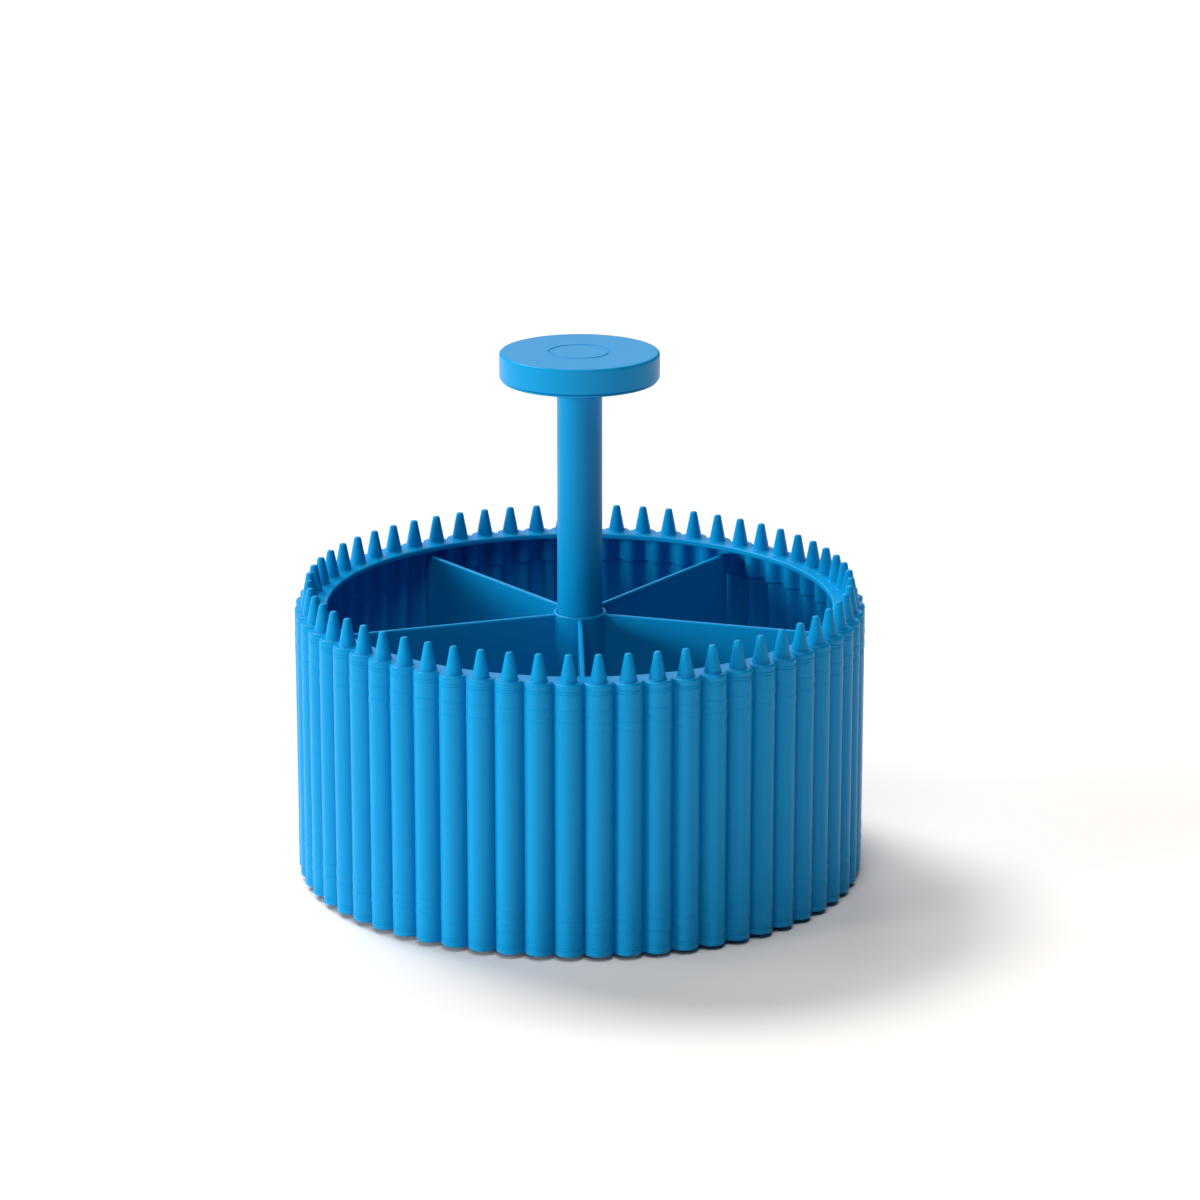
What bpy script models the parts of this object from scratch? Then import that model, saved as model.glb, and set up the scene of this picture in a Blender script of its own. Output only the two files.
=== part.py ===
"""A rotating desk organiser: a drum walled with crayon-shaped ribs that turns on a ball race.

The drum is one corrugated ring, closed by a tray that snaps in from below and carries five
dividers and a hub. A post stands in the hub and holds a disc knob. A tie rod clamps knob,
post, tray and pivot sleeve together, and its washer and lock nut keep the base disc on.
Units are metres, +Z is up, and the origin is on the turning axis at table level.
"""

import math

import bmesh
import bpy
from mathutils import Matrix, Vector

MM = 0.001
GAP = 0.3 * MM  # between two pieces that touch on the real object

# Crayon ring: the corrugated wall of the drum, with its flat rim
CRAYON_COUNT = 60
PITCH = 2 * math.pi / CRAYON_COUNT
AXIS_RADIUS = 114.15 * MM  # circle through the crayons' own axes
CRAYON_RADIUS = 6.15 * MM
DRUM_BOTTOM = 2.0 * MM  # the drum hangs clear of the table by this much
RIM_TOP = DRUM_BOTTOM + 115.1 * MM
RIM_THICKNESS = 2.2 * MM
RIM_INNER_RADIUS = 106.5 * MM
TIP_HEIGHT = 11.4 * MM
TIP_BASE_RADIUS = 3.6 * MM
TIP_TOP_RADIUS = 1.45 * MM
BAND_WALL = 3.5 * MM  # the wall is thickest just under the rim
BAND_HEIGHT = 13.9 * MM
WALL = 2.5 * MM
SNAP_WALL = 1.9 * MM  # the groove that takes the edge of the tray
LEAD_IN = 0.3 * MM
OUTER_STEPS = 6  # straight sides that stand for a crayon's arc, outside and inside
INNER_STEPS = 2

# Divider tray: floor, dividers and hub in one moulding
FLOOR_BOTTOM = 9.0 * MM
FLOOR_TOP = 11.4 * MM
DIVIDER_COUNT = 5
DIVIDER_WALL = 2.1 * MM
DIVIDER_REACH = 111.2 * MM
DIVIDER_TOP = DRUM_BOTTOM + 110.5 * MM
HUB_RADIUS = 11.3 * MM
HUB_TOP = DIVIDER_TOP + 0.4 * MM
WEB_BOTTOM = 24.0 * MM  # the wall across the hub's bore
WEB_TOP = 27.0 * MM
FRONT = -math.pi / 2  # one divider points this way

# Post and knob
POST_RADIUS = 9.5 * MM
POST_BORE = 7.3 * MM
KNOB_RADIUS = 33.5 * MM
KNOB_TOP = DRUM_BOTTOM + 223.2 * MM
KNOB_BOTTOM = DRUM_BOTTOM + 211.3 * MM
KNOB_WALL = 2.4 * MM
PLATE_FLANGE = 0.9 * MM
PLATE_THICKNESS = 3.2 * MM
PLATE_INSET = 0.9 * MM
SOCKET_DEPTH = 2.4 * MM
BOSS_RADIUS = 12.5 * MM
BOSS_TOP = KNOB_BOTTOM + 5.4 * MM

# Turntable: base disc, feet, ball race
BASE_RADIUS = 84.0 * MM
BASE_BOTTOM = 1.2 * MM
BASE_TOP = 4.2 * MM
FOOT_COUNT = 6
FOOT_RADIUS = 6.5 * MM
FOOT_CIRCLE = 73.0 * MM
FOOT_HEIGHT = 2.2 * MM
BALL_COUNT = 12
BALL_RADIUS = 3.0 * MM
RACE_RADIUS = 60.0 * MM
BALL_LEVEL = (BASE_TOP + FLOOR_BOTTOM) / 2
TRACK_RADIUS = BALL_RADIUS + GAP
TRACK_STEPS = 4
RACE_SEGMENTS = 40
CAGE_WIDTH = 11.0 * MM
CAGE_THICKNESS = 1.8 * MM

# Centre bearing and the M5 tie rod's hardware
ROD_RADIUS = 2.5 * MM
ROD_HOLE = ROD_RADIUS + GAP
ROD_BOTTOM = 9.6 * MM
SLEEVE_RADIUS = 3.9 * MM
SPINDLE_RADIUS = 9.3 * MM
SPINDLE_TOP = 22.2 * MM
SPINDLE_WALL = 4.0 * MM
SPINDLE_BORE = 7.2 * MM
BEARING_PLAY = 0.3 * MM
WASHER_RADIUS = 6.0 * MM
WASHER_THICKNESS = 1.0 * MM
NUT_FLATS = 8.0 * MM
LOCK_NUT_HEIGHT = 5.0 * MM
KNOB_NUT_HEIGHT = 2.7 * MM


# ------------------------------------------------------------- scene and materials


def clear_scene():
    """Removes every object of the open scene."""
    for obj in list(bpy.data.objects):
        bpy.data.objects.remove(obj, do_unlink=True)


def make_material(name, colour, roughness, metallic=0.0):
    """A Principled material of one colour."""
    material = bpy.data.materials.new(name)
    material.use_nodes = True
    shader = material.node_tree.nodes["Principled BSDF"]
    shader.inputs["Base Color"].default_value = (*colour, 1.0)
    shader.inputs["Roughness"].default_value = roughness
    shader.inputs["Metallic"].default_value = metallic
    return material


def make_empty(name, height):
    """An empty on the turning axis, parent of the pieces of one moving body."""
    empty = bpy.data.objects.new(name, None)
    empty.location = (0.0, 0.0, height)
    bpy.context.scene.collection.objects.link(empty)
    return empty


def finish_mesh(name, bm, material=None):
    """Turns a bmesh into a mesh, smooth except at its sharp edges."""
    bmesh.ops.remove_doubles(bm, verts=bm.verts, dist=1e-7)
    bmesh.ops.recalc_face_normals(bm, faces=bm.faces)
    mesh = bpy.data.meshes.new(name)
    bm.to_mesh(mesh)
    bm.free()
    mesh.shade_smooth()
    mesh.set_sharp_from_angle(angle=math.radians(40.0))
    if material:
        mesh.materials.append(material)
    return mesh


def place(name, mesh, parent=None, location=(0.0, 0.0, 0.0)):
    """Adds an object that uses the mesh; the location is in world coordinates."""
    obj = bpy.data.objects.new(name, mesh)
    obj.location = location
    bpy.context.scene.collection.objects.link(obj)
    if parent:
        obj.parent = parent
        obj.matrix_parent_inverse = Matrix.Translation(-parent.location)
    return obj


def combine(obj, tool, operation):
    """Adds a Boolean modifier with another object, which becomes a hidden guide."""
    modifier = obj.modifiers.new(tool.name, "BOOLEAN")
    modifier.operation = operation
    modifier.object = tool
    tool.hide_render = True
    tool.display_type = "WIRE"


# ------------------------------------------------------------- outlines and solids


def polar(radius, angle):
    """A point of the XY plane."""
    return (radius * math.cos(angle), radius * math.sin(angle))


def arc(centre, radius, start, end, steps):
    """Points of an arc, with both ends."""
    points = []
    for i in range(steps + 1):
        x, y = polar(radius, start + (end - start) * i / steps)
        points.append((centre[0] + x, centre[1] + y))
    return points


def turn(point, angle):
    """A point turned about the Z axis, its height kept."""
    return Vector(point) @ Matrix.Rotation(-angle, 3, "Z")


def at_height(points, height):
    """Plane points lifted to a height."""
    return [(x, y, height) for x, y in points]


def loft(bm, loops, closed=False):
    """Bridges loops that have the same number of points, in order."""
    rings = [[bm.verts.new(point) for point in loop] for loop in loops]
    if closed:
        rings.append(rings[0])
    for lower, upper in zip(rings, rings[1:]):
        for i in range(len(lower)):
            j = (i + 1) % len(lower)
            bm.faces.new((lower[i], lower[j], upper[j], upper[i]))
    return rings


def circle(radius, height, segments, centre=(0.0, 0.0)):
    """A level circle as a loop of points."""
    return at_height(arc(centre, radius, 0.0, 2 * math.pi, segments)[:-1], height)


def turned(profile, segments):
    """A bmesh turned from (radius, height) points that go round a closed section.

    A section that starts and ends on the axis is left open along it.
    """
    bm = bmesh.new()
    on_axis = profile[0][0] == 0.0 and profile[-1][0] == 0.0
    body = profile[1:-1] if on_axis else profile
    rings = loft(bm, [circle(r, z, segments) for r, z in body], closed=not on_axis)
    if on_axis:
        bm.faces.new(rings[0])
        bm.faces.new(rings[-1])
    return bm


def add_cylinder(bm, radius, bottom, top, segments, centre=(0.0, 0.0), turn_by=0.0):
    """Adds a closed upright cylinder."""
    depth = top - bottom
    middle = Matrix.Translation((*centre, bottom + depth / 2))
    matrix = middle @ Matrix.Rotation(turn_by, 4, "Z")
    bmesh.ops.create_cone(bm, cap_ends=True, segments=segments, radius1=radius,
                          radius2=radius, depth=depth, matrix=matrix)


def spots(count, radius, start=0.0):
    """Places spread evenly round a circle."""
    return [polar(radius, start + 2 * math.pi * k / count) for k in range(count)]


# ------------------------------------------------------------- crayon ring


def crayon_sector(depth, steps):
    """One crayon's share of the drum's outline, seen from above and centred on +X.

    At depth 0 it is the crayon's own arc, which meets its neighbours in sharp grooves.
    Offset inwards by a depth it is a narrower flute between two rounded half ridges.
    """
    half_chord = AXIS_RADIUS * math.sin(PITCH / 2)
    rise = math.sqrt(CRAYON_RADIUS**2 - half_chord**2)
    groove = polar(AXIS_RADIUS * math.cos(PITCH / 2) + rise, PITCH / 2)
    reach = math.atan2(groove[1], groove[0] - AXIS_RADIUS)
    flute = arc((AXIS_RADIUS, 0.0), CRAYON_RADIUS - depth, -reach, reach, steps)
    if depth == 0:
        return flute
    ridge = arc(groove, depth, reach + math.pi, PITCH / 2 + math.pi, 1)[1:]
    mirrored = [(x, -y) for x, y in reversed(ridge)]
    return mirrored + flute + ridge


def crayon_loop(depth, steps, height):
    """The whole outline at one height, made of the crayons' sectors."""
    sector = at_height(crayon_sector(depth, steps)[:-1], height)
    return [turn(point, crayon_angle(k)) for k in range(CRAYON_COUNT) for point in sector]


def crayon_angle(k):
    """Direction of a crayon; the grooves lie at whole multiples of the pitch."""
    return (k + 0.5) * PITCH


def add_sector_face(bm, points, angle):
    """Adds one flat face, turned to its sector."""
    bm.faces.new([bm.verts.new(turn(point, angle)) for point in points])


def add_rim_top(bm, angle):
    """Adds one crayon's part of the rim's top as two halves, with its tip between them."""
    outline = crayon_sector(0, OUTER_STEPS)[OUTER_STEPS // 2:]
    base = arc((AXIS_RADIUS, 0.0), TIP_BASE_RADIUS, math.pi, 0.0, 4)
    edge = [polar(RIM_INNER_RADIUS, PITCH / 2), polar(RIM_INNER_RADIUS, 0.0)]
    half = at_height(base + outline + edge, RIM_TOP)
    add_sector_face(bm, half, angle)
    add_sector_face(bm, [(x, -y, z) for x, y, z in half], angle)
    foot = circle(TIP_BASE_RADIUS, RIM_TOP, 8, (AXIS_RADIUS, 0.0))
    head = circle(TIP_TOP_RADIUS, RIM_TOP + TIP_HEIGHT, 8, (AXIS_RADIUS, 0.0))
    rings = loft(bm, [[turn(point, angle) for point in loop] for loop in (foot, head)])
    bm.faces.new(rings[-1])


def make_crayon_ring(material, parent):
    """The corrugated wall with its tips, its flat rim and the tray's snap groove."""
    bm = bmesh.new()
    outer = [(DRUM_BOTTOM, 0.0), (RIM_TOP, 0.0)]
    loft(bm, [crayon_loop(depth, OUTER_STEPS, z) for z, depth in outer])
    rim_underside = RIM_TOP - RIM_THICKNESS
    inner = [
        (DRUM_BOTTOM, WALL - LEAD_IN),
        (FLOOR_BOTTOM - GAP, WALL),
        (FLOOR_BOTTOM - GAP, SNAP_WALL),
        (FLOOR_TOP + GAP, SNAP_WALL),
        (FLOOR_TOP + GAP, WALL),
        (RIM_TOP - BAND_HEIGHT - BAND_WALL + WALL, WALL),
        (RIM_TOP - BAND_HEIGHT, BAND_WALL),
        (rim_underside, BAND_WALL),
    ]
    loft(bm, [crayon_loop(depth, INNER_STEPS, z) for z, depth in inner])
    edge = 2 * CRAYON_COUNT
    loft(bm, [circle(RIM_INNER_RADIUS, z, edge) for z in (rim_underside, RIM_TOP)])
    foot = crayon_sector(0, OUTER_STEPS) + crayon_sector(WALL - LEAD_IN, INNER_STEPS)[::-1]
    underside = crayon_sector(BAND_WALL, INNER_STEPS)
    underside += [polar(RIM_INNER_RADIUS, side * PITCH / 2) for side in (1, 0, -1)]
    for k in range(CRAYON_COUNT):
        add_sector_face(bm, at_height(foot, DRUM_BOTTOM), crayon_angle(k))
        add_sector_face(bm, at_height(underside, rim_underside), crayon_angle(k))
        add_rim_top(bm, crayon_angle(k))
    return place("crayon_ring", finish_mesh("crayon_ring", bm, material), parent)


# ------------------------------------------------------------- divider tray


def track_section(side):
    """Points of a ball track's section, in the floor above (+1) or below (-1) the balls."""
    drop = BALL_LEVEL - BASE_TOP
    spread = math.acos(drop / TRACK_RADIUS)
    middle = side * math.pi / 2
    return arc((RACE_RADIUS, BALL_LEVEL), TRACK_RADIUS, middle + side * spread,
               middle - side * spread, TRACK_STEPS)


def make_divider_tray(material, parent):
    """Floor with scalloped edge, hub with its web, and dividers, joined into one solid."""
    bm = bmesh.new()
    outline = [crayon_loop(SNAP_WALL + GAP, INNER_STEPS, z) for z in (FLOOR_BOTTOM, FLOOR_TOP)]
    rings = loft(bm, outline)
    bm.faces.new(rings[0])
    bm.faces.new(rings[-1])
    tray = place("divider_tray", finish_mesh("divider_tray", bm, material), parent)

    middle = (FLOOR_BOTTOM + FLOOR_TOP) / 2
    bm = turned([(0.0, middle), (HUB_RADIUS, middle), (HUB_RADIUS, HUB_TOP - MM),
                 (HUB_RADIUS - 0.5 * MM, HUB_TOP), (0.0, HUB_TOP)], 32)
    combine(tray, place("hub_guide", finish_mesh("hub_guide", bm), parent), "UNION")
    for k in range(DIVIDER_COUNT):
        name = f"divider_guide_{k + 1}"
        bm = bmesh.new()
        bmesh.ops.create_cube(bm, size=1.0)
        length = DIVIDER_REACH - HUB_RADIUS / 2
        bmesh.ops.scale(bm, verts=bm.verts, vec=(length, DIVIDER_WALL, DIVIDER_TOP - middle))
        offset = (HUB_RADIUS / 2 + length / 2, 0.0, (DIVIDER_TOP + middle) / 2)
        bmesh.ops.translate(bm, verts=bm.verts, vec=offset)
        angle = FRONT + 2 * math.pi * k / DIVIDER_COUNT
        bmesh.ops.rotate(bm, verts=bm.verts, matrix=Matrix.Rotation(angle, 3, "Z"))
        combine(tray, place(name, finish_mesh(name, bm), parent), "UNION")

    bore = POST_RADIUS + GAP
    bm = turned([(0.0, WEB_TOP), (bore, WEB_TOP), (bore, HUB_TOP + MM), (0.0, HUB_TOP + MM)], 32)
    combine(tray, place("post_bore_cutter", finish_mesh("post_bore_cutter", bm), parent), "DIFFERENCE")
    bm = turned([(0.0, FLOOR_BOTTOM - MM), (bore, FLOOR_BOTTOM - MM), (bore, WEB_BOTTOM),
                 (ROD_HOLE, WEB_BOTTOM), (ROD_HOLE, WEB_TOP + MM), (0.0, WEB_TOP + MM)], 32)
    combine(tray, place("spindle_bore_cutter", finish_mesh("spindle_bore_cutter", bm), parent), "DIFFERENCE")
    section = track_section(1)
    floor_under = FLOOR_BOTTOM - MM
    section = [(section[0][0], floor_under)] + section + [(section[-1][0], floor_under)]
    combine(tray, place("upper_track_cutter", finish_mesh("upper_track_cutter", turned(section, RACE_SEGMENTS)), parent),
            "DIFFERENCE")
    return tray


# ------------------------------------------------------------- post and knob


def make_post(material, parent):
    """The tube that stands on the hub's web and carries the knob."""
    bottom = WEB_TOP + GAP
    top = KNOB_BOTTOM + SOCKET_DEPTH - GAP
    section = [(POST_BORE, bottom), (POST_RADIUS, bottom), (POST_RADIUS, top), (POST_BORE, top)]
    return place("post_tube", finish_mesh("post_tube", turned(section, 32), material), parent)


def make_knob_cap(material, parent):
    """The knob's top shell, with a rounded edge and a skirt."""
    fillet = 1.6 * MM
    corner = arc((KNOB_RADIUS - fillet, KNOB_TOP - fillet), fillet, math.pi / 2, 0.0, 3)
    skirt = KNOB_BOTTOM + PLATE_FLANGE + GAP
    inside = KNOB_RADIUS - KNOB_WALL
    section = [(0.0, KNOB_TOP)] + corner
    section += [(KNOB_RADIUS, skirt), (inside, skirt), (inside, KNOB_TOP - KNOB_WALL)]
    section += [(0.0, KNOB_TOP - KNOB_WALL)]
    return place("knob_cap", finish_mesh("knob_cap", turned(section, 48), material), parent)


def make_knob_plate(material, parent):
    """The plate under the cap: a flange, a spigot inside the skirt and the post's socket."""
    spigot = KNOB_RADIUS - KNOB_WALL - GAP
    flange_top = KNOB_BOTTOM + PLATE_FLANGE
    top = KNOB_BOTTOM + PLATE_THICKNESS
    socket = POST_RADIUS + GAP
    socket_top = KNOB_BOTTOM + SOCKET_DEPTH
    section = [
        (socket, KNOB_BOTTOM),
        (KNOB_RADIUS - PLATE_INSET, KNOB_BOTTOM),
        (KNOB_RADIUS - PLATE_INSET, flange_top),
        (spigot, flange_top),
        (spigot, top),
        (BOSS_RADIUS, top),
        (BOSS_RADIUS, BOSS_TOP),
        (ROD_HOLE, BOSS_TOP),
        (ROD_HOLE, socket_top),
        (socket, socket_top),
    ]
    return place("knob_plate", finish_mesh("knob_plate", turned(section, 36), material), parent)


# ------------------------------------------------------------- tie rod and centre bearing


def make_nut(name, bottom, height, material, parent):
    """A hexagon nut round the tie rod."""
    bm = bmesh.new()
    hexagon = NUT_FLATS / 2 / math.cos(math.pi / 6)
    levels = (bottom, bottom + height)
    outer = [circle(hexagon, z, 6) for z in levels]
    inner = [circle(ROD_HOLE, z, 12) for z in levels]
    loft(bm, outer)
    loft(bm, inner)
    for big, small in zip(outer, inner):
        for k in range(6):
            face = [big[k], big[(k + 1) % 6], small[(2 * k + 2) % 12], small[2 * k + 1], small[2 * k]]
            bm.faces.new([bm.verts.new(point) for point in face])
    return place(name, finish_mesh(name, bm, material), parent)


def make_ring(name, inner, outer, bottom, top, material, parent):
    """A plain turned ring."""
    section = [(inner, bottom), (outer, bottom), (outer, top), (inner, top)]
    return place(name, finish_mesh(name, turned(section, 24), material), parent)


def make_centre(steel, acetal, parent):
    """The tie rod with its two nuts, the thrust washer and the sleeve that the base turns on."""
    sleeve_top = WEB_BOTTOM - GAP
    sleeve_bottom = SPINDLE_TOP - SPINDLE_WALL - BEARING_PLAY
    washer_bottom = sleeve_bottom - GAP - WASHER_THICKNESS
    lock_nut_bottom = washer_bottom - GAP - LOCK_NUT_HEIGHT
    knob_nut_bottom = BOSS_TOP + GAP
    rod_top = knob_nut_bottom + KNOB_NUT_HEIGHT + GAP
    rod = turned([(0.0, ROD_BOTTOM), (ROD_RADIUS, ROD_BOTTOM), (ROD_RADIUS, rod_top), (0.0, rod_top)], 16)
    place("tie_rod", finish_mesh("tie_rod", rod, steel), parent)
    make_nut("knob_nut", knob_nut_bottom, KNOB_NUT_HEIGHT, steel, parent)
    make_nut("lock_nut", lock_nut_bottom, LOCK_NUT_HEIGHT, steel, parent)
    make_ring("thrust_washer", ROD_HOLE, WASHER_RADIUS, washer_bottom, washer_bottom + WASHER_THICKNESS,
              steel, parent)
    make_ring("pivot_sleeve", ROD_HOLE, SLEEVE_RADIUS, sleeve_bottom, sleeve_top, acetal, parent)


# ------------------------------------------------------------- turntable


def make_ball_race(steel, acetal, parent):
    """The cage and its balls, which roll between the base disc and the tray."""
    bottom = BALL_LEVEL - CAGE_THICKNESS / 2
    top = BALL_LEVEL + CAGE_THICKNESS / 2
    inner = RACE_RADIUS - CAGE_WIDTH / 2
    outer = RACE_RADIUS + CAGE_WIDTH / 2
    section = [(inner, bottom), (outer, bottom), (outer, top), (inner, top)]
    cage = place("ball_cage", finish_mesh("ball_cage", turned(section, RACE_SEGMENTS), acetal), parent)
    bm = bmesh.new()
    for centre in spots(BALL_COUNT, RACE_RADIUS):
        add_cylinder(bm, TRACK_RADIUS + GAP, bottom - MM, top + MM, 8, centre)
    combine(cage, place("ball_hole_cutter", finish_mesh("ball_hole_cutter", bm), parent), "DIFFERENCE")
    bm = bmesh.new()
    bmesh.ops.create_icosphere(bm, subdivisions=2, radius=BALL_RADIUS)
    ball = finish_mesh("ball", bm, steel)
    for k, centre in enumerate(spots(BALL_COUNT, RACE_RADIUS)):
        place(f"ball_{k + 1:02d}", ball, parent, (*centre, BALL_LEVEL))


def make_base(plastic, rubber):
    """The fixed base disc with its hollow spindle and lower ball track, on rubber feet."""
    chamfer = 0.8 * MM
    track = track_section(-1)
    section = [
        (SPINDLE_BORE, BASE_BOTTOM),
        (BASE_RADIUS - chamfer, BASE_BOTTOM),
        (BASE_RADIUS, BASE_BOTTOM + chamfer),
        (BASE_RADIUS, BASE_TOP - chamfer),
        (BASE_RADIUS - chamfer, BASE_TOP),
    ]
    section += sorted(track, reverse=True)
    section += [
        (SPINDLE_RADIUS, BASE_TOP),
        (SPINDLE_RADIUS, SPINDLE_TOP),
        (SLEEVE_RADIUS + GAP, SPINDLE_TOP),
        (SLEEVE_RADIUS + GAP, SPINDLE_TOP - SPINDLE_WALL),
        (SPINDLE_BORE, SPINDLE_TOP - SPINDLE_WALL),
    ]
    base = place("base_disc", finish_mesh("base_disc", turned(section, RACE_SEGMENTS), plastic))
    places = spots(FOOT_COUNT, FOOT_CIRCLE, math.pi / FOOT_COUNT)
    bm = bmesh.new()
    for centre in places:
        add_cylinder(bm, FOOT_RADIUS + GAP, BASE_BOTTOM - MM, FOOT_HEIGHT + GAP, 16, centre)
    combine(base, place("foot_recess_cutter", finish_mesh("foot_recess_cutter", bm)), "DIFFERENCE")
    bm = bmesh.new()
    add_cylinder(bm, FOOT_RADIUS, 0.0, FOOT_HEIGHT, 16)
    foot = finish_mesh("foot", bm, rubber)
    for k, centre in enumerate(places):
        place(f"foot_{k + 1}", foot, None, (*centre, 0.0))


def main():
    """Builds the organiser: a fixed base, a free ball race and the drum that turns on it."""
    clear_scene()
    blue = make_material("blue_plastic", (0.013, 0.22, 0.53), 0.5)
    grey = make_material("grey_plastic", (0.12, 0.13, 0.14), 0.6)
    acetal = make_material("white_acetal", (0.8, 0.8, 0.77), 0.4)
    steel = make_material("steel", (0.62, 0.62, 0.64), 0.25, 1.0)
    rubber = make_material("black_rubber", (0.02, 0.02, 0.02), 0.85)
    drum = make_empty("drum_axis", DRUM_BOTTOM)
    cage = make_empty("cage_axis", BALL_LEVEL)
    make_crayon_ring(blue, drum)
    make_divider_tray(blue, drum)
    make_post(blue, drum)
    make_knob_cap(blue, drum)
    make_knob_plate(blue, drum)
    make_centre(steel, acetal, drum)
    make_ball_race(steel, acetal, cage)
    make_base(grey, rubber)


main()
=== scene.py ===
"""Finished surfaces, finishes and studio for a rotating desk organiser.

A drum walled with sixty crayon shapes turns on a ball race. Its ring, divider tray, post and knob
are satin polypropylene mouldings. Lengths are metres, +Z is up, and -Y is the front.
Every surface is a grid of points worked out as whole numpy arrays. Its first parameter u runs
anticlockwise round the turning axis, and its second, v, runs along a section: out along the
underside, up the outside, and back in over the top, so that faces point outwards.
"""
import logging
import math
from dataclasses import dataclass, field
from enum import Enum

import bpy
import numpy as np
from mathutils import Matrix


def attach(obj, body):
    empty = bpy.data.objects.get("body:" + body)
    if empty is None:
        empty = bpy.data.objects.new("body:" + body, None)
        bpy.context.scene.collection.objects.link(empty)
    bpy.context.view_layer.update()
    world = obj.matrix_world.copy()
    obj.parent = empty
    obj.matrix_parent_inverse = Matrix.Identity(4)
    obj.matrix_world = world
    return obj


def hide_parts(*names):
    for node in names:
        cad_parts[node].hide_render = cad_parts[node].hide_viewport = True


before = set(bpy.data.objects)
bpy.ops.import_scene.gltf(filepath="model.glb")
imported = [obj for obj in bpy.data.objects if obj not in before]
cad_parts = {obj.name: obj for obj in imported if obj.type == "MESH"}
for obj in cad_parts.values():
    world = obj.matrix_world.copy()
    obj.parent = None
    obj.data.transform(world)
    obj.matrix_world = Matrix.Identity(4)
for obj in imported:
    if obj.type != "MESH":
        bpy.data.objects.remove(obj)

MM = 0.001
WELD = 1e-7  # points closer than this become one
TINY = 1e-12  # keeps a division by a length from failing
QUARTER_TURN = math.pi / 2
FULL_TURN = 2.0 * math.pi
SHARP = 0.0  # radius of a plain corner
GUARD_SHARE = 0.35  # a guard point's distance past an arc, in radii
CRISP_ANGLE = 50.0  # least angle of a crisp edge, in degrees
LOG = logging.getLogger("organiser")


class Slot(Enum):
    """The record's material slots."""

    BLUE = "blue_plastic"
    GREY = "grey_plastic"
    ACETAL = "acetal"
    STEEL = "steel"
    RUBBER = "rubber"


class Body(Enum):
    """The moving bodies of the frame."""

    BASE = "base"
    CAGE = "cage"
    DRUM = "drum"


# ---- sections and surfaces


def rounded(corners: list[tuple[float, float, float]], steps: int = 4,
            closed: bool = False) -> np.ndarray:
    """Rounds the corners of a section line.

    Each corner gives way to an arc tangent to both of its sides: the arc's ends lie
    radius / tan(half angle) from the corner, and its points turn evenly about its centre. A guard
    point follows each arc's end along the side, so that flat sides keep their own shading.

    Args:
        corners: (across, up, radius) of each corner, in metres.
        steps: number of straight pieces in an arc.
        closed: whether the last corner joins the first.

    Returns:
        An (n, 2) array of points; an open line keeps its two ends as they are.
    """
    data = np.array(corners, dtype=float)
    spots, radii = data[:, :2], data[:, 2]
    before = np.roll(spots, 1, axis=0) - spots
    after = np.roll(spots, -1, axis=0) - spots
    before /= np.maximum(np.linalg.norm(before, axis=1, keepdims=True), TINY)
    after /= np.maximum(np.linalg.norm(after, axis=1, keepdims=True), TINY)
    half = 0.5 * np.arccos(np.clip((before * after).sum(axis=1), -1.0, 1.0))
    half = np.clip(half, 0.05, QUARTER_TURN - 0.01)
    reach = radii / np.tan(half)
    middle = before + after
    middle /= np.maximum(np.linalg.norm(middle, axis=1, keepdims=True), TINY)
    centre = spots + middle * (radii / np.sin(half))[:, None]
    start = spots + before * reach[:, None] - centre
    end = spots + after * reach[:, None] - centre
    sweep = (math.pi - 2.0 * half)[:, None]
    part = np.linspace(0.0, 1.0, steps + 1)[None, :]
    near = (np.sin((1.0 - part) * sweep) / np.sin(sweep))[..., None]
    far = (np.sin(part * sweep) / np.sin(sweep))[..., None]
    arcs = centre[:, None, :] + near * start[:, None, :] + far * end[:, None, :]
    guard = GUARD_SHARE * radii[:, None]
    lead = spots + before * (reach[:, None] + guard)
    tail = spots + after * (reach[:, None] + guard)
    rows = np.concatenate([lead[:, None, :], arcs, tail[:, None, :]], axis=1)
    sharp = radii == SHARP
    rows[sharp] = spots[sharp][:, None, :]
    if not closed:
        rows[0] = spots[0]
        rows[-1] = spots[-1]
    line = rows.reshape(-1, 2)
    keep = np.linalg.norm(line - np.roll(line, 1, axis=0), axis=1) > WELD
    keep[0] = True
    return line[keep]


def eased(share: np.ndarray) -> np.ndarray:
    """Eases a share from 0 to 1 at both ends, as 3 share^2 - 2 share^3."""
    return share * share * (3.0 - 2.0 * share)


def turns(segments: int) -> np.ndarray:
    """Lists the angles u of a full turn as a (segments, 1) column."""
    return np.linspace(0.0, FULL_TURN, segments, endpoint=False)[:, None]


def swept(across: np.ndarray, u: np.ndarray, up: np.ndarray) -> np.ndarray:
    """Puts a point at (across, up) and turn u at (across cos u, across sin u, up)."""
    return np.stack([across * np.cos(u), across * np.sin(u), up + 0.0 * u], axis=-1)


def lifted(flat: np.ndarray, up: np.ndarray) -> np.ndarray:
    """Puts a (u, v) array of complex numbers x + iy at the (v,) heights."""
    return np.stack([flat.real, flat.imag, up + 0.0 * flat.real], axis=-1)


def around(section: np.ndarray, segments: int) -> np.ndarray:
    """Turns a section about the Z axis.

    Args:
        section: (n, 2) points.
        segments: number of steps in a full turn.

    Returns:
        A (segments, n, 3) grid.
    """
    return swept(section[None, :, 0], turns(segments), section[None, :, 1])


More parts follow.
